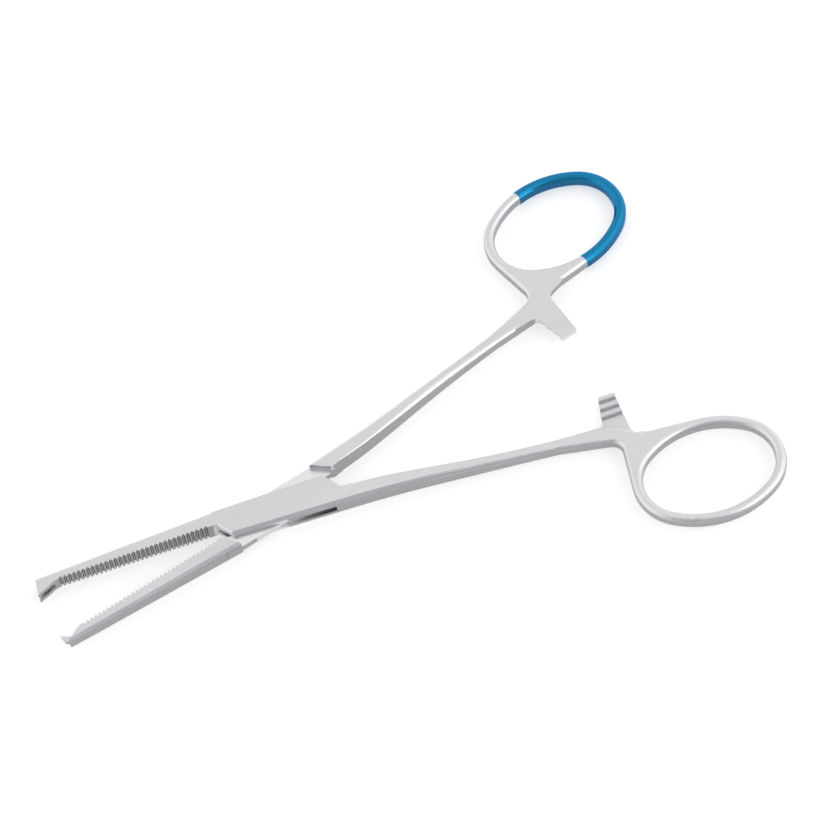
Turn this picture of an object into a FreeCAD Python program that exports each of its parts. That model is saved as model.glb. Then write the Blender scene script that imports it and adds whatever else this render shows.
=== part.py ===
import FreeCAD, Part
import math
import os
from FreeCAD import Vector

# Straight box-lock artery forceps with toothed jaw tips, 14 cm, lying flat and a little open.
# Each half is drawn shut in its own plan: x runs from jaw tip (-) to finger ring (+) through the pivot,
# the jaw lies at y > 0, the shank and ring at y < 0, and z = 0 is the middle of the thickness.
# The male half is the same plan mirrored. All lengths are millimetres, all angles degrees.

# Pose and pivot
half_open_angle = 7.28
pivot_radius = 1.5
pivot_running_fit = 0.03

# Jaws
jaw_tip_x = -48.4
jaw_root_x = -12.0
jaw_tip_width = 1.88
jaw_root_width = 3.2
jaw_tip_height = 3.1
jaw_face_gap = 0.06
jaw_back_bevel = 0.5
groove_pitch = 0.927
groove_width = 0.6
groove_floor = 0.16
groove_depth = 0.42
groove_row_start = 0.9
groove_row_margin = 1.5

# Interlocking tip teeth
prong_length = 2.0
prong_span = 3.8
pit_width = 1.25
tooth_width = 1.0
tooth_height = 0.7
tooth_clearance = 0.15

# Box lock
box_height = 4.2
box_half_width = 3.0
box_front_edge = 3.25
box_back_edge = 4.0
box_bevel = 0.6
plate_end_bevel = 0.3
box_front_x = -9.3
box_back_x = 10.5
slot_height = 1.5
tongue_play = 0.05
tongue_arm_width = 3.42
tongue_shank_width = 3.85
front_wall_radius = 9.9
back_wall_radius = 12.05
wall_clearance = 0.3
shoulder_clearance = 0.35
shoulder_bevel_depth = 0.8
shoulder_bevel_width = 0.2

# Shank: stations along x, each with centre y, width, height, inner corner size,
# outer corner size and outer corner fullness (0.71 is a flat bevel, 1 is round)
shank_start_x = 16.0
shank_end_x = 56.0
shank_start = (-2.575, 3.25, 4.2, 0.3, 0.6, 0.74)
shank_near = (-3.42, 3.05, 3.92, 0.55, 0.7, 0.8)
shank_mid = (-4.65, 2.75, 3.6, 0.95, 0.95, 0.95)
shank_far = (-5.85, 2.6, 3.2, 1.1, 1.1, 1.0)
shank_end = (-6.95, 2.7)

# Yoke and finger ring
handle_height = 2.8
handle_round = 1.02
ring_x = 81.5
ring_y = -22.76
ring_half_length = 14.25
ring_half_width = 10.55
ring_end_share = 0.84
ring_wire_width = 2.2
yoke_inner_corner = (66.5, -6.15)
yoke_upper_neck = (72.2, -10.2)
yoke_lower_neck = (67.7, -10.75)
neck_round = 2.2

# Ratchets
ratchet_tip_y = 0.95
ratchet_tip_x = (67.2, 70.6)
ratchet_root_x = (65.75, 70.65)
ratchet_root_y = -6.1
ratchet_root_round = 1.7
ratchet_gap = 0.1
ratchet_pitch = 1.85
ratchet_tooth_height = 0.6
ratchet_tooth_count = 3

# Colour coat on the male ring
coat_thickness = 0.1
coat_corner_steps = 4
coat_line_x = 80.4
coat_line_angle = 5.8

middle_z = box_height / 2
prong_root_x = jaw_tip_x + prong_span
female_groove_start_x = prong_root_x + groove_row_start
male_groove_start_x = female_groove_start_x + groove_pitch / 2
plate_root = (jaw_root_x + 0.1, jaw_face_gap)
plate_corner = (box_front_x, -box_front_edge)
shank_root_corner = (box_back_x + 3.0, -0.65)

# The ring's middle line is an oval of four arcs that meet tangentially
ring_end_radius = ring_end_share * ring_half_width
ring_end_shift = ring_half_length - ring_end_radius
ring_side_radius = (ring_end_shift ** 2 + ring_half_width ** 2 - ring_end_radius ** 2)
ring_side_radius /= 2 * (ring_half_width - ring_end_radius)
ring_side_shift = ring_side_radius - ring_half_width
ring_joint_angle = math.degrees(math.atan2(ring_side_shift, ring_end_shift))


def polygon_prism(points, low_z, high_z):
    corners = [Vector(x, y, low_z) for x, y in points]
    wire = Part.makePolygon(corners + corners[:1])
    return Part.Face(wire).extrude(Vector(0, 0, high_z - low_z))


def side_prism(points, low_y, high_y):
    corners = [Vector(x, low_y, z) for x, z in points]
    wire = Part.makePolygon(corners + corners[:1])
    return Part.Face(wire).extrude(Vector(0, high_y - low_y, 0))


def cylinder_z(radius, low_z, high_z):
    return Part.makeCylinder(radius, high_z - low_z, Vector(0, 0, low_z))


def box_between(low, high):
    size = [b - a for a, b in zip(low, high)]
    return Part.makeBox(*size, Vector(*low))


def upright_edges_near(solid, x, y, reach=0.4):
    found = []
    for edge in solid.Edges:
        a = edge.Vertexes[0].Point
        b = edge.Vertexes[-1].Point
        is_upright = abs(a.x - b.x) < 0.01 and abs(a.y - b.y) < 0.01
        if is_upright and math.hypot(a.x - x, a.y - y) < reach:
            found.append(edge)
    return found


def face_edges(solid, z):
    return [e for e in solid.Edges if abs(e.BoundBox.ZMin - z) < 1e-4 and abs(e.BoundBox.ZMax - z) < 1e-4]


# Pair of wedges that bevel the top and bottom edges of a wall; the body lies left of start -> end
def edge_wedges(start, end, width, depth, overrun):
    along = Vector(end[0] - start[0], end[1] - start[1], 0).normalize()
    left = Vector(-along.y, along.x, 0)
    length = math.hypot(end[0] - start[0], end[1] - start[1]) + 2 * overrun
    foot = Vector(start[0], start[1], 0) - along * overrun
    half = box_height / 2
    section = [
        (1.5 * width, half + 0.5 * depth),
        (-0.5 * width, half - 1.5 * depth),
        (-1.0, half - 1.5 * depth),
        (-1.0, half + 0.5 * depth),
    ]
    wedges = []
    for side in (1, -1):
        corners = [foot + left * inset + Vector(0, 0, side * z) for inset, z in section]
        wire = Part.makePolygon(corners + corners[:1])
        wedges.append(Part.Face(wire).extrude(along * length))
    return wedges


# Jaw: plan outline with its row of grooves, tapered in height towards the tip
def jaw_back_y(x):
    share = (x - jaw_tip_x) / (jaw_root_x - jaw_tip_x)
    return jaw_tip_width + share * (jaw_root_width - jaw_tip_width)


def grooved_face(first_x):
    points = []
    groove_count = int((jaw_root_x - groove_row_margin - first_x) / groove_pitch) + 1
    for index in range(groove_count):
        x = first_x + index * groove_pitch
        points.append((x - groove_width / 2, jaw_face_gap))
        points.append((x - groove_floor / 2, jaw_face_gap + groove_depth))
        points.append((x + groove_floor / 2, jaw_face_gap + groove_depth))
        points.append((x + groove_width / 2, jaw_face_gap))
    return points


def jaw_taper():
    half_box = box_height / 2
    half_tip = jaw_tip_height / 2
    far_x = jaw_tip_x - 2
    slope = (half_box - half_tip) / (box_front_x - jaw_tip_x)
    half_far = half_tip - 2 * slope
    corners = [(far_x, -half_far), (box_front_x, -half_box), (box_front_x, half_box), (far_x, half_far)]
    return side_prism(corners, -box_back_edge - 1, jaw_root_width + 2)


def jaw_solid(outline):
    blank = polygon_prism(outline, -box_height / 2, box_height / 2)
    jaw = blank.common(jaw_taper())
    backs = []
    for edge in jaw.Edges:
        a = edge.Vertexes[0].Point
        b = edge.Vertexes[-1].Point
        is_long = abs(a.x - b.x) > 20
        is_back = abs(a.y - jaw_back_y(a.x)) < 0.2 and abs(a.z) > 1
        if is_long and is_back:
            backs.append(edge)
    return jaw.makeChamfer(jaw_back_bevel, backs)


# Two prongs at the female tip, with the pit between them
prong_back = [
    (prong_root_x, jaw_face_gap),
    (prong_root_x - 0.9, -0.30),
    (prong_root_x - 1.8, -0.85),
    (prong_root_x - 3.17, -1.45),
    (jaw_tip_x - 0.35, -prong_length),
]


def female_jaw():
    outline = grooved_face(female_groove_start_x)[::-1] + prong_back
    outline = [(jaw_root_x + 2, jaw_face_gap)] + outline
    outline += [
        (jaw_tip_x, jaw_tip_width - 0.4),
        (jaw_tip_x + 0.8, jaw_back_y(jaw_tip_x + 0.8)),
        (jaw_root_x, jaw_root_width),
        (jaw_root_x + 2, box_half_width - 0.2),
    ]
    jaw = jaw_solid(outline)
    pit = [
        (prong_root_x - 0.4, 0),
        (jaw_tip_x - 1, tooth_height + tooth_clearance + 0.25),
        (jaw_tip_x - 1, -prong_length - 1),
        (prong_root_x - 0.4, -prong_length - 1),
    ]
    return jaw.cut(polygon_prism(pit, -pit_width / 2, pit_width / 2))


# The male jaw ends in a shoulder that runs alongside the slanted front end of the box
def shoulder_x(y):
    slope = (plate_corner[0] - plate_root[0]) / (plate_root[1] - plate_corner[1])
    return plate_root[0] + slope * (y + plate_root[1]) - shoulder_clearance


# One tooth at the male tip, standing in a recess that takes the prongs
def male_jaw():
    recess = [(x, tooth_clearance - y) for x, y in prong_back[1:4]]
    outline = [(shoulder_x(jaw_face_gap), jaw_face_gap)] + grooved_face(male_groove_start_x)[::-1]
    outline.append((prong_root_x + 0.15, jaw_face_gap))
    outline += recess
    outline += [
        (jaw_tip_x + 0.6, jaw_back_y(jaw_tip_x + 0.6) - 0.05),
        (jaw_tip_x + 0.9, jaw_back_y(jaw_tip_x + 0.9)),
    ]
    shoulder_end = shoulder_x(jaw_root_width)
    outline.append((shoulder_end, jaw_back_y(shoulder_end)))
    jaw = jaw_solid(outline)
    tooth = [
        recess[1],
        (jaw_tip_x - 0.1, -tooth_height),
        (jaw_tip_x + 0.1, 1.0),
        (jaw_tip_x + 0.9, jaw_back_y(jaw_tip_x + 0.9) - 0.3),
        (jaw_tip_x + 3, 1.4),
    ]
    return jaw.fuse(polygon_prism(tooth, -tooth_width / 2, tooth_width / 2))


# Shank: sections with four corners, bevelled outside at the box and round by the middle
def shank_section(x, station):
    centre_y, width, height, inner, outer, fullness = station
    corners = [(1, 1, inner, 1), (-1, 1, outer, fullness), (-1, -1, outer, fullness), (1, -1, inner, 1)]
    turns = []
    for index, (side, level, size, bulge) in enumerate(corners):
        y = centre_y + side * (width / 2 - size)
        z = level * (height / 2 - size)
        points = []
        for turn, reach in ((0, size), (45, size * bulge), (90, size)):
            angle = math.radians(90 * index + turn)
            points.append(Vector(x, y + reach * math.cos(angle), z + reach * math.sin(angle)))
        turns.append(points)
    edges = []
    for index, points in enumerate(turns):
        edges.append(Part.Arc(*points).toShape())
        edges.append(Part.LineSegment(points[2], turns[(index + 1) % 4][0]).toShape())
    return Part.Wire(edges)


def shank(handle_body):
    stations = [shank_start, shank_near, shank_mid, shank_far]
    step = (shank_end_x - shank_start_x) / len(stations)
    wires = [shank_section(shank_start_x + i * step, s) for i, s in enumerate(stations)]
    stub = [f for f in handle_body.Faces if abs(f.BoundBox.XMax - shank_end_x) < 1e-4]
    wires.append(stub[0].OuterWire)
    return Part.makeLoft(wires, True, False)


# Finger ring: the four arcs at a given offset from the middle line, anticlockwise from the far end
def ring_arcs(offset):
    end = ring_end_radius + offset
    side = ring_side_radius + offset
    turn = ring_joint_angle
    return [
        (ring_x + ring_end_shift, ring_y, end, -turn, turn),
        (ring_x, ring_y - ring_side_shift, side, turn, 180 - turn),
        (ring_x - ring_end_shift, ring_y, end, 180 - turn, 180 + turn),
        (ring_x, ring_y + ring_side_shift, side, 180 + turn, 360 - turn),
    ]


def arc_edge(centre_x, centre_y, radius, start, end, z):
    points = []
    for angle in (start, (start + end) / 2, end):
        turn = math.radians(angle)
        points.append(Vector(centre_x + radius * math.cos(turn), centre_y + radius * math.sin(turn), z))
    return Part.Arc(*points).toShape()


def oval_prism(offset, low_z, high_z):
    arcs = [arc_edge(*arc, low_z) for arc in ring_arcs(offset)]
    return Part.Face(Part.Wire(arcs)).extrude(Vector(0, 0, high_z - low_z))


# Which arc of the oval a straight line from the corner touches, and at what angle
def ring_tangent(arcs, corner, side):
    for index, (centre_x, centre_y, radius, start, end) in enumerate(arcs):
        away_x = corner[0] - centre_x
        away_y = corner[1] - centre_y
        reach = math.hypot(away_x, away_y)
        if reach <= radius:
            continue
        turn = math.degrees(math.atan2(away_y, away_x) + side * math.acos(radius / reach))
        for angle in (turn, turn + 360, turn - 360):
            if start <= angle <= end:
                return index, angle
    raise ValueError("the yoke corner lies inside the ring")


# Outline of ring and yoke in one wire: round the ring from the lower neck to the upper one
def handle_outline(z):
    arcs = ring_arcs(ring_wire_width / 2)
    first, first_angle = ring_tangent(arcs, yoke_lower_neck, 1)
    last, last_angle = ring_tangent(arcs, yoke_upper_neck, -1)
    edges = []
    for step in range(5):
        index = (first + step) % 4
        centre_x, centre_y, radius, start, end = arcs[index]
        if step == 0:
            start = first_angle
        if step > 0 and index == last:
            end = last_angle
        edges.append(arc_edge(centre_x, centre_y, radius, start, end, z))
        if step > 0 and index == last:
            break
    centre_y, width = shank_end
    corners = [
        Vector(*yoke_upper_neck, z),
        Vector(*yoke_inner_corner, z),
        Vector(shank_end_x, centre_y + width / 2, z),
        Vector(shank_end_x, centre_y - width / 2, z),
        Vector(*yoke_lower_neck, z),
    ]
    corners = [edges[-1].Vertexes[-1].Point] + corners + [edges[0].Vertexes[0].Point]
    for a, b in zip(corners, corners[1:]):
        edges.append(Part.LineSegment(a, b).toShape())
    return Part.Wire(edges)


def handle():
    top = handle_height / 2
    body = Part.Face(handle_outline(-top)).extrude(Vector(0, 0, handle_height))
    for neck in (yoke_upper_neck, yoke_lower_neck, yoke_inner_corner):
        body = body.makeFillet(neck_round, upright_edges_near(body, *neck))
    body = body.cut(oval_prism(-ring_wire_width / 2, -top - 1, top + 1))
    rims = []
    for z in (-top, top):
        rims += [e for e in face_edges(body, z) if e.BoundBox.XMax > shank_end_x + 0.01]
    return body.makeFillet(handle_round, rims)


# Ratchet bar: the female one keeps the lower half of the thickness with teeth on top,
# the male one the upper half with teeth underneath
def ratchet(side):
    outline = [
        (ratchet_root_x[0] - 5, ratchet_root_y + 0.05),
        (ratchet_root_x[0], ratchet_root_y),
        (ratchet_tip_x[0], ratchet_tip_y),
        (ratchet_tip_x[1], ratchet_tip_y),
        (ratchet_root_x[1], yoke_upper_neck[1] + 1.2),
        (yoke_upper_neck[0] + 3.5, yoke_upper_neck[1] - 0.3),
        (yoke_upper_neck[0], yoke_upper_neck[1] - 2.5),
        (ratchet_root_x[0] - 1, ratchet_root_y - 2),
    ]
    face_z = ratchet_gap / 2
    back_z = handle_height / 2
    bar = polygon_prism(outline, face_z, back_z)
    for corner in (outline[1], outline[4]):
        bar = bar.makeFillet(ratchet_root_round, upright_edges_near(bar, *corner))
    notches = []
    for index in range(ratchet_tooth_count):
        y = ratchet_tip_y - 0.75 - index * ratchet_pitch
        notch = [(y, face_z - 1), (y, face_z + ratchet_tooth_height), (y - ratchet_pitch, face_z), (y - ratchet_pitch, face_z - 1)]
        corners = [Vector(ratchet_tip_x[0] - 4, py, pz) for py, pz in notch]
        wire = Part.makePolygon(corners + corners[:1])
        notches.append(Part.Face(wire).extrude(Vector(10, 0, 0)))
    bar = bar.cut(notches)
    if side == "female":
        bar = bar.mirror(Vector(0, 0, 0), Vector(0, 0, 1))
    return bar


# Box: two plates round an open slot, with the jaw and the shank growing from its ends
def female_box():
    shank_y, shank_width = shank_start[:2]
    back_corner = (box_back_x, -box_back_edge)
    shank_corner = (shank_start_x, shank_y - shank_width / 2)
    outline = [
        plate_root,
        plate_corner,
        back_corner,
        shank_corner,
        (shank_start_x, shank_y + shank_width / 2),
        (box_back_x + 2.75, -0.75),
        (box_back_x + 1.4, 1.5),
        (box_back_x, box_half_width),
        (jaw_root_x, box_half_width),
    ]
    top = box_height / 2
    box = polygon_prism(outline, -top, top)
    box = box.makeFillet(1.2, upright_edges_near(box, box_back_x + 2.75, -0.75))
    wedges = edge_wedges(plate_corner, back_corner, box_bevel, box_bevel, 0.5)
    wedges += edge_wedges(back_corner, shank_corner, box_bevel, box_bevel, 0.5)
    wedges += edge_wedges(plate_root, plate_corner, plate_end_bevel, plate_end_bevel, 0.5)
    slot = slot_height / 2
    reach = 20
    open_front = box_between((-reach, -reach, -slot), (0, jaw_face_gap, slot))
    open_back = box_between((0, -0.7, -slot), (reach, reach, slot))
    front_pocket = cylinder_z(front_wall_radius, -slot, slot)
    front_pocket = front_pocket.common(box_between((-reach, -0.1, -slot), (0.1, reach, slot)))
    back_pocket = cylinder_z(back_wall_radius, -slot, slot)
    back_pocket = back_pocket.common(box_between((-0.1, -reach, -slot), (reach, 0, slot)))
    box = box.cut(wedges + [open_front, open_back, front_pocket, back_pocket])
    return box.cut(cylinder_z(pivot_radius, -top - 1, top + 1))


def male_tongue():
    half = slot_height / 2 - tongue_play
    strip = box_between((-13, -tongue_shank_width, -half), (14.5, tongue_arm_width, half))
    front = cylinder_z(front_wall_radius - wall_clearance, -half, half)
    back = cylinder_z(back_wall_radius - wall_clearance, -half, half)
    front_waste = box_between((-20, -20, -half), (0, jaw_face_gap, half)).cut(front)
    back_waste = box_between((0, -0.65, -half), (20, 20, half)).cut(back)
    tongue = strip.cut([front_waste, back_waste])
    heel = [
        (shank_root_corner[0] - 2.2, -1.0),
        (shank_root_corner[0] - 0.15, -0.9),
        (shank_root_corner[0] - 0.5, -0.25),
        (shank_root_corner[0] - 2.2, -0.25),
    ]
    tongue = tongue.fuse(polygon_prism(heel, -half, half))
    return tongue.cut(cylinder_z(pivot_radius + pivot_running_fit, -half - 1, half + 1))


# Full-height root of the male shank, with a steep bevel on the shoulder facing the box
def male_shank_root():
    shank_y, shank_width = shank_start[:2]
    top = box_height / 2
    shoulder_low = (box_back_x - 0.2, -3.5)
    shoulder_high = (shank_root_corner[0] - 0.25, shank_root_corner[1] - 0.22)
    back_corner = (box_back_x, -box_back_edge)
    shank_corner = (shank_start_x, shank_y - shank_width / 2)
    outline = [
        shoulder_low,
        shoulder_high,
        (shank_root_corner[0] + 0.3, shank_root_corner[1] - 0.03),
        (shank_start_x, shank_y + shank_width / 2),
        shank_corner,
        back_corner,
    ]
    root = polygon_prism(outline, -top, top)
    wedges = edge_wedges(back_corner, shank_corner, box_bevel, box_bevel, 0.5)
    wedges += edge_wedges(shoulder_high, shoulder_low, shoulder_bevel_width, shoulder_bevel_depth, 0.5)
    return root.cut(wedges)


def assemble(parts):
    whole = parts[0].fuse(parts[1:])
    return whole.removeSplitter()


def place(shape, angle):
    shape = shape.copy()
    shape.rotate(Vector(0, 0, 0), Vector(0, 0, 1), angle)
    shape.translate(Vector(0, 0, middle_z))
    return shape


def mirrored(shape):
    return shape.mirror(Vector(0, 0, 0), Vector(0, 1, 0))


# Section of the wire at a radius from the axis, grown by a thickness: each rounded corner
# is a run of short flats laid against the round
def wire_section(radius, growth):
    corner = handle_round + growth
    flat_y = ring_wire_width / 2 - handle_round
    flat_z = handle_height / 2 - handle_round
    step = 90 / coat_corner_steps
    reach = corner / math.cos(math.radians(step / 2))
    points = []
    for quarter, (side, level) in enumerate(((1, 1), (-1, 1), (-1, -1), (1, -1))):
        for index in range(coat_corner_steps):
            turn = math.radians(90 * quarter + step * (index + 0.5))
            y = side * flat_y + reach * math.cos(turn)
            z = level * flat_z + reach * math.sin(turn)
            points.append(Vector(radius + y, 0, z))
    return Part.Face(Part.makePolygon(points + points[:1]))


def colour_coat(ring_body):
    axis = Vector(0, 0, 1)
    tubes = []
    for centre_x, centre_y, radius, start, end in ring_arcs(0):
        skin = wire_section(radius, coat_thickness).cut(wire_section(radius, 0))
        tube = skin.Faces[0].revolve(Vector(0, 0, 0), axis, end - start)
        tube.rotate(Vector(0, 0, 0), axis, start)
        tube.translate(Vector(centre_x, centre_y, 0))
        tubes.append(tube)
    dipped = box_between((0, -30, -5), (30, 30, 5))
    dipped.rotate(Vector(0, 0, 0), axis, -coat_line_angle)
    dipped.translate(Vector(coat_line_x, ring_y, 0))
    return tubes[0].fuse(tubes[1:]).common(dipped).cut(ring_body).removeSplitter()


def main():
    os.makedirs("parts", exist_ok=True)
    handle_body = handle()
    shank_body = shank(handle_body)
    female = assemble([female_box(), female_jaw(), shank_body, handle_body, ratchet("female")])
    male = assemble([male_tongue(), male_jaw(), male_shank_root(), shank_body, handle_body, ratchet("male")])
    pin = cylinder_z(pivot_radius, -box_height / 2, box_height / 2)
    nodes = {
        "female_half": place(female, -half_open_angle),
        "male_half": place(mirrored(male), half_open_angle),
        "pivot_pin": place(pin, 0),
        "blue_coating": place(mirrored(colour_coat(handle_body)), half_open_angle),
    }
    for name, shape in nodes.items():
        box = shape.BoundBox
        print(name, shape.isValid(), len(shape.Solids), round(shape.Volume, 2),
              [round(v, 2) for v in (box.XMin, box.YMin, box.ZMin, box.XMax, box.YMax, box.ZMax)])
        shape.exportStep("parts/" + name + ".step")


main()
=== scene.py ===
import math
import bpy
from mathutils import Matrix, Vector

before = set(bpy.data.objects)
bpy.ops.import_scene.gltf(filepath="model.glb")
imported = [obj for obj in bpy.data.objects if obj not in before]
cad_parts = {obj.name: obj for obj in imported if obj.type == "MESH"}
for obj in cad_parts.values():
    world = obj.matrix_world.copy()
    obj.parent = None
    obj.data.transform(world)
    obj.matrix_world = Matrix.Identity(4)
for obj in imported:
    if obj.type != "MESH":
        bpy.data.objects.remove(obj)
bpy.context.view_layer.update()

print("frame loaded:", sorted(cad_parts))


# shared shader effects

def newGroup(name, inputs, outputs):
    group = bpy.data.node_groups.new(name, "ShaderNodeTree")
    for label, kind, value in inputs:
        socket = group.interface.new_socket(name=label, in_out="INPUT", socket_type=kind)
        socket.default_value = value
    for label, kind in outputs:
        group.interface.new_socket(name=label, in_out="OUTPUT", socket_type=kind)
    start = group.nodes.new("NodeGroupInput")
    end = group.nodes.new("NodeGroupOutput")
    return group, start, end


def addMath(tree, operation, first, second=None):
    node = tree.nodes.new("ShaderNodeMath")
    node.operation = operation
    for index, value in enumerate((first, second)):
        if isinstance(value, bpy.types.NodeSocket):
            tree.links.new(value, node.inputs[index])
        elif value is not None:
            node.inputs[index].default_value = value
    return node.outputs[0]


def addRange(tree, value, low, high, toLow, toHigh):
    node = tree.nodes.new("ShaderNodeMapRange")
    node.interpolation_type = "SMOOTHSTEP"
    tree.links.new(value, node.inputs["Value"])
    ends = {"From Min": low, "From Max": high, "To Min": toLow, "To Max": toHigh}
    for label, amount in ends.items():
        if isinstance(amount, bpy.types.NodeSocket):
            tree.links.new(amount, node.inputs[label])
        else:
            node.inputs[label].default_value = amount
    return node.outputs["Result"]


# The mask for the painted shade that darkens upright faces.
def makePaintedSideShadeMask():     # 1 on upright faces, 0 on flats, by how far a face's normal leans from Z
    group, start, end = newGroup(
        "sideMask",
        [("Flat From", "NodeSocketFloat", 0.75), ("Side From", "NodeSocketFloat", 0.25)],
        [("Side", "NodeSocketFloat")])
    coords = group.nodes.new("ShaderNodeTexCoord")
    parts = group.nodes.new("ShaderNodeSeparateXYZ")
    group.links.new(coords.outputs["Normal"], parts.inputs[0])
    tilt = addMath(group, "ABSOLUTE", parts.outputs["Z"])
    side = addRange(
        group, tilt, start.outputs["Side From"], start.outputs["Flat From"], 1.0, 0.0)
    group.links.new(side, end.inputs["Side"])
    return group


# Where painted light goes, in metres, on the part at rest: faces of the lock and the ratchets
# made brighter, standing in for the light and reflections they catch.
# These limits are typed, so they don't follow a change of the part's sizes.
paintedLightPlaces = {
    "tongueTopPaintedLight": {"X": (-0.0145, 0.0145), "Z": (0.0026, 0.0029)},
    "frontWall": {"X": (-0.0125, 0.0010), "Y": (-0.0042, 0.0040)},
    "shoulder": {"X": (0.0085, 0.0139), "Y": (0.0005, 0.0056), "Z": (0.00283, 0.0042)},
    "slotMouth": {"X": (0.0012, 0.0102), "Y": (-0.0070, -0.0020), "Z": (0.00136, 0.00283)},
    "ratchets": {"X": (0.0640, 0.0715), "Y": (-0.0146, 0.0146)},
}


# The mask of the painted light: the tongue top, and the lock walls with the ratchets.
def makePaintedLightMask():
    group, _, end = newGroup(
        "paintedLightMask", [], [("Tongue Top", "NodeSocketFloat"), ("Wall", "NodeSocketFloat")])
    coords = group.nodes.new("ShaderNodeTexCoord")
    spot = group.nodes.new("ShaderNodeSeparateXYZ")
    group.links.new(coords.outputs["Object"], spot.inputs[0])

    def inside(place):      # 1 within all of the place's limits, 0 elsewhere
        tests = []
        for axis, (low, high) in paintedLightPlaces[place].items():
            tests.append(addMath(group, "GREATER_THAN", spot.outputs[axis], low))
            tests.append(addMath(group, "LESS_THAN", spot.outputs[axis], high))
        share = tests[0]
        for test in tests[1:]:
            share = addMath(group, "MULTIPLY", share, test)
        return share

    wall = inside("frontWall")
    for place in ("shoulder", "slotMouth", "ratchets"):
        wall = addMath(group, "MAXIMUM", wall, inside(place))
    group.links.new(inside("tongueTopPaintedLight"), end.inputs["Tongue Top"])
    group.links.new(wall, end.inputs["Wall"])
    return group


grainLook = {
    "stretch": (0.06, 1.0, 1.0),            # lines long along the part, fine across it
    "lineDetail": 3.0,
    "cloudDetail": 2.0,
}


def makeSatinGrain():   # fine grinding lines and a soft cloudy tone
    group, start, end = newGroup(
        "satinGrain",
        [("Line Scale", "NodeSocketFloat", 2200.0), ("Cloud Scale", "NodeSocketFloat", 90.0)],
        [("Lines", "NodeSocketFloat"), ("Cloud", "NodeSocketFloat")])
    coords = group.nodes.new("ShaderNodeTexCoord")
    stretch = group.nodes.new("ShaderNodeMapping")
    stretch.inputs["Scale"].default_value = grainLook["stretch"]
    group.links.new(coords.outputs["Object"], stretch.inputs["Vector"])
    lines = group.nodes.new("ShaderNodeTexNoise")
    lines.inputs["Detail"].default_value = grainLook["lineDetail"]
    group.links.new(stretch.outputs[0], lines.inputs["Vector"])
    group.links.new(start.outputs["Line Scale"], lines.inputs["Scale"])
    cloud = group.nodes.new("ShaderNodeTexNoise")
    cloud.inputs["Detail"].default_value = grainLook["cloudDetail"]
    group.links.new(coords.outputs["Object"], cloud.inputs["Vector"])
    group.links.new(start.outputs["Cloud Scale"], cloud.inputs["Scale"])
    group.links.new(lines.outputs["Fac"], end.inputs["Lines"])
    group.links.new(cloud.outputs["Fac"], end.inputs["Cloud"])
    return group


sideMask = makePaintedSideShadeMask()
paintedLightMask = makePaintedLightMask()
satinGrain = makeSatinGrain()
print("shader groups ready")


def placeGroup(tree, group, **values):
    node = tree.nodes.new("ShaderNodeGroup")
    node.node_tree = group
    for label, value in values.items():
        node.inputs[label.replace("_", " ")].default_value = value
    return node


def newMaterial(name):
    material = bpy.data.materials.new(name)
    material.use_nodes = True
    tree = material.node_tree
    shader = tree.nodes["Principled BSDF"]
    return material, tree, shader


def mixColour(tree, factor, first, second):
    node = tree.nodes.new("ShaderNodeMix")
    node.data_type = "RGBA"
    tree.links.new(factor, node.inputs["Factor"])
    for label, value in (("A", first), ("B", second)):
        socket = [s for s in node.inputs if s.name == label and s.type == "RGBA"][0]
        if isinstance(value, bpy.types.NodeSocket):
            tree.links.new(value, socket)
        else:
            socket.default_value = (*value, 1.0)
    return [s for s in node.outputs if s.type == "RGBA"][0]


def addBump(tree, shader, height, strength, depth):
    bump = tree.nodes.new("ShaderNodeBump")
    bump.inputs["Strength"].default_value = strength
    bump.inputs["Distance"].default_value = depth
    tree.links.new(height, bump.inputs["Height"])
    tree.links.new(bump.outputs["Normal"], shader.inputs["Normal"])


# satin stainless steel

steel = {
    "flatLight": (0.80, 0.805, 0.81),
    "flatDark": (0.72, 0.725, 0.735),
    "side": (0.36, 0.36, 0.37),             # painted shade: upright faces darker than the flats, standing in for the darker reflection they show; that the sides are also left duller is a guess
    # a guess: the lock is milled brighter inside
    "tongueTopPaintedLight": (0.90, 0.905, 0.91),       # painted light: the tongue's top brighter, standing in for the light it catches inside the lock
    # painted light and reflection: lock walls, slot mouth and ratchet faces lighter than the
    # painted side shade
    "paintedLightWall": (0.66, 0.66, 0.67),
    "flatFrom": 0.72,                       # the normal's Z from which a face counts as flat
    "sideFrom": 0.3,                        # and below which it counts as upright
    "roughness": (0.25, 0.32),
    "lineSpread": (0.3, 0.7),               # the range of the lines that the roughness follows
    "lineScale": 2200.0,
    "bump": 0.02,
    "bumpDepth": 0.0001,
}


def makeSteel():
    material, tree, shader = newMaterial("satinSteel")
    grain = placeGroup(tree, satinGrain, Line_Scale=steel["lineScale"])
    mask = placeGroup(
        tree, sideMask, Flat_From=steel["flatFrom"], Side_From=steel["sideFrom"])
    paintedLightShares = placeGroup(tree, paintedLightMask)
    flats = mixColour(tree, grain.outputs["Cloud"], steel["flatDark"], steel["flatLight"])
    # painted light on the tongue top; painted light and reflection on the lock walls and
    # ratchets
    flats = mixColour(tree, paintedLightShares.outputs["Tongue Top"], flats, steel["tongueTopPaintedLight"])
    sides = mixColour(tree, paintedLightShares.outputs["Wall"], steel["side"], steel["paintedLightWall"])
    # painted shade: upright faces take the darker side tone
    base = mixColour(tree, mask.outputs["Side"], flats, sides)
    tree.links.new(base, shader.inputs["Base Color"])
    rough = addRange(tree, grain.outputs["Lines"], *steel["lineSpread"], *steel["roughness"])
    tree.links.new(rough, shader.inputs["Roughness"])
    shader.inputs["Metallic"].default_value = 1.0
    addBump(tree, shader, grain.outputs["Lines"], steel["bump"], steel["bumpDepth"])
    return material


# glossy translucent colour coat on the ring

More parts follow.
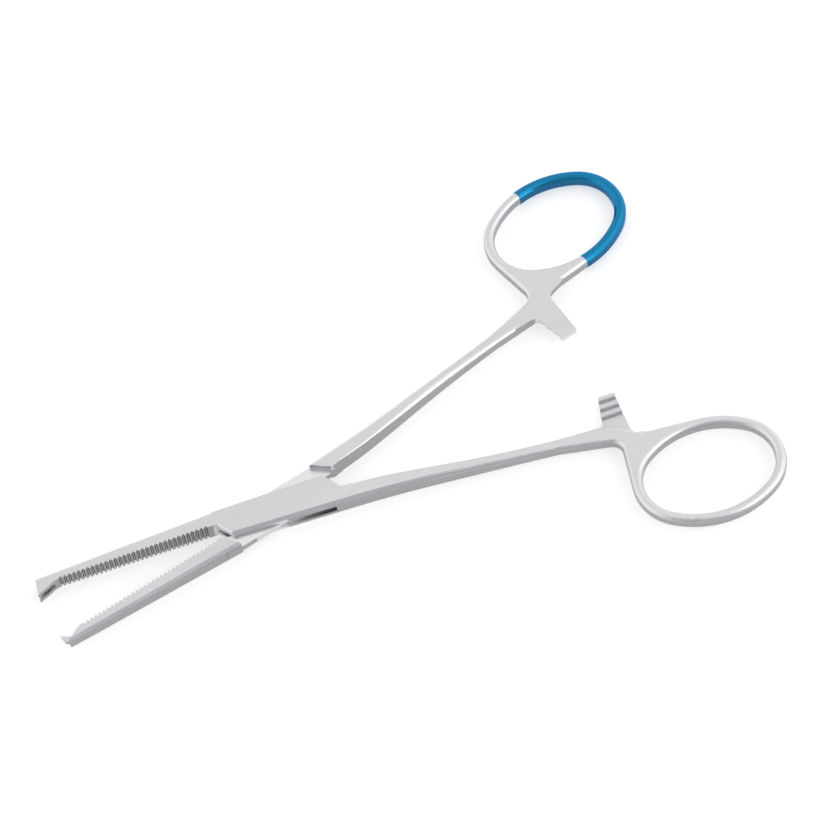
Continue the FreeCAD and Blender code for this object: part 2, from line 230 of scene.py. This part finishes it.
coat = {
    "overFlats": (0.0, 0.225, 0.45),
    "overSidesPaintedShade": (0.0, 0.105, 0.23),        # painted shade: the lacquer darker on upright faces, over the steel's painted side shade
    "flatFrom": 0.72,
    "sideFrom": 0.2,
    "edgeTint": (0.15, 0.55, 0.9),
    "roughness": 0.18,
    "gloss": 0.4,
    "glossRoughness": 0.04,
    "cloudScale": 250.0,
    "bump": 0.03,
    "bumpDepth": 0.0002,
}


def makeCoat():
    material, tree, shader = newMaterial("blueLacquer")
    grain = placeGroup(tree, satinGrain, Cloud_Scale=coat["cloudScale"])
    mask = placeGroup(tree, sideMask, Flat_From=coat["flatFrom"], Side_From=coat["sideFrom"])
    # painted shade: upright faces of the coat take the darker colour
    base = mixColour(tree, mask.outputs["Side"], coat["overFlats"], coat["overSidesPaintedShade"])
    tree.links.new(base, shader.inputs["Base Color"])
    shader.inputs["Metallic"].default_value = 1.0
    shader.inputs["Roughness"].default_value = coat["roughness"]
    shader.inputs["Specular Tint"].default_value = (*coat["edgeTint"], 1.0)
    shader.inputs["Coat Weight"].default_value = coat["gloss"]
    shader.inputs["Coat Roughness"].default_value = coat["glossRoughness"]
    addBump(tree, shader, grain.outputs["Cloud"], coat["bump"], coat["bumpDepth"])
    return material


def dress(nodeName, material):
    node = bpy.data.objects[nodeName]
    node.data.materials.clear()
    node.data.materials.append(material)


steelMaterial = makeSteel()
coatMaterial = makeCoat()
for name in ("female_half", "male_half", "pivot_pin"):
    dress(name, steelMaterial)
dress("blue_coating", coatMaterial)
print("materials on")


# floor, light and camera

stage = {
    "floorSize": 4.0,
    "floorColour": (0.62, 0.62, 0.62),
    "floorRoughness": 0.9,
    "floorLift": 0.53,       # added only where the floor is seen, so that it reads white
    "sky": (0.84, 0.84, 0.85),
    "lampPlace": (0.50, -0.60, 0.60),
    "lampSize": 0.4,
    "lampPower": 0.7,
}

# Brighter and dimmer parts of the surroundings, placed to suit the photograph's view.
# Each one fades in between two cosines of the angle from its direction.
skyZones = (
    {"colour": (1.00, 1.00, 1.01), "towards": (1.0, 0.1, 0.25), "fade": (0.35, 0.85)},
    {"colour": (1.06, 1.06, 1.07), "towards": (-1.0, 0.1, 0.25), "fade": (0.35, 0.85)},
    {"colour": (0.48, 0.48, 0.50), "towards": (-0.17, -0.83, 0.52), "fade": (0.45, 0.90)},
    {"colour": (1.30, 1.30, 1.31), "towards": (0.6, -0.3, 0.75), "fade": (0.80, 0.95)},
)


def seenDirectly(tree):
    path = tree.nodes.new("ShaderNodeLightPath")
    both = addMath(tree, "MAXIMUM", path.outputs["Is Camera Ray"], path.outputs["Is Glossy Ray"])
    return addMath(tree, "MAXIMUM", both, path.outputs["Is Transmission Ray"])


def makeFloor():
    half = stage["floorSize"] / 2
    mesh = bpy.data.meshes.new("floor")
    corners = [(-half, -half, 0), (half, -half, 0), (half, half, 0), (-half, half, 0)]
    mesh.from_pydata(corners, [], [(0, 1, 2, 3)])
    floor = bpy.data.objects.new("floor", mesh)
    bpy.context.scene.collection.objects.link(floor)
    material, tree, shader = newMaterial("paleFloor")
    shader.inputs["Base Color"].default_value = (*stage["floorColour"], 1.0)
    shader.inputs["Roughness"].default_value = stage["floorRoughness"]
    shader.inputs["Specular IOR Level"].default_value = 0.0
    shader.inputs["Emission Color"].default_value = (1.0, 1.0, 1.0, 1.0)
    lift = addMath(tree, "MULTIPLY", seenDirectly(tree), stage["floorLift"])
    tree.links.new(lift, shader.inputs["Emission Strength"])
    mesh.materials.append(material)


def makeWorld():
    world = bpy.data.worlds.new("studio")
    world.use_nodes = True
    tree = world.node_tree
    coords = tree.nodes.new("ShaderNodeTexCoord")
    colour = stage["sky"]
    for zone in skyZones:
        facing = tree.nodes.new("ShaderNodeVectorMath")
        facing.operation = "DOT_PRODUCT"
        facing.inputs[1].default_value = Vector(zone["towards"]).normalized()
        tree.links.new(coords.outputs["Generated"], facing.inputs[0])
        share = addRange(tree, facing.outputs["Value"], *zone["fade"], 0.0, 1.0)
        colour = mixColour(tree, share, colour, zone["colour"])
    tree.links.new(colour, tree.nodes["Background"].inputs["Color"])
    bpy.context.scene.world = world


def makeLamp(name, place, aim, size, power):
    light = bpy.data.lights.new(name, "AREA")
    light.shape = "SQUARE"
    light.size = size
    light.energy = power
    lamp = bpy.data.objects.new(name, light)
    lamp.location = place
    direction = Vector(aim) - Vector(place)
    lamp.rotation_euler = direction.to_track_quat("-Z", "Y").to_euler()
    bpy.context.scene.collection.objects.link(lamp)


# the photograph's view, in metres and degrees
view = {
    "aim": (0.03316, 0.00745, 0.0021),
    "azimuth": 17.47,
    "elevation": 57.87,
    "roll": -9.88,
    "distance": 0.6891,
    "focalPixels": 3490.0,
    "imageWidth": 823,
    "sensorWidth": 36.0,     # millimetres
}


def makeCamera():
    azimuth = math.radians(view["azimuth"])
    elevation = math.radians(view["elevation"])
    forward = Vector((
        math.sin(azimuth) * math.cos(elevation),
        math.cos(azimuth) * math.cos(elevation),
        -math.sin(elevation),
    ))
    level = forward.cross(Vector((0, 0, 1))).normalized()
    upright = level.cross(forward)
    roll = math.radians(view["roll"])
    right = level * math.cos(roll) + upright * math.sin(roll)
    up = right.cross(forward)
    place = Vector(view["aim"]) - forward * view["distance"]
    camera = bpy.data.cameras.new("camera")
    camera.sensor_width = view["sensorWidth"]
    camera.lens = view["focalPixels"] / view["imageWidth"] * camera.sensor_width
    holder = bpy.data.objects.new("camera", camera)
    turn = Matrix((right, up, -forward)).transposed().to_4x4()
    holder.matrix_world = Matrix.Translation(place) @ turn
    bpy.context.scene.collection.objects.link(holder)
    bpy.context.scene.camera = holder


makeFloor()
makeWorld()
makeLamp("sideLamp", stage["lampPlace"], view["aim"], stage["lampSize"], stage["lampPower"])
makeCamera()
bpy.context.scene.view_settings.view_transform = "Standard"
print("stage, light and camera ready")
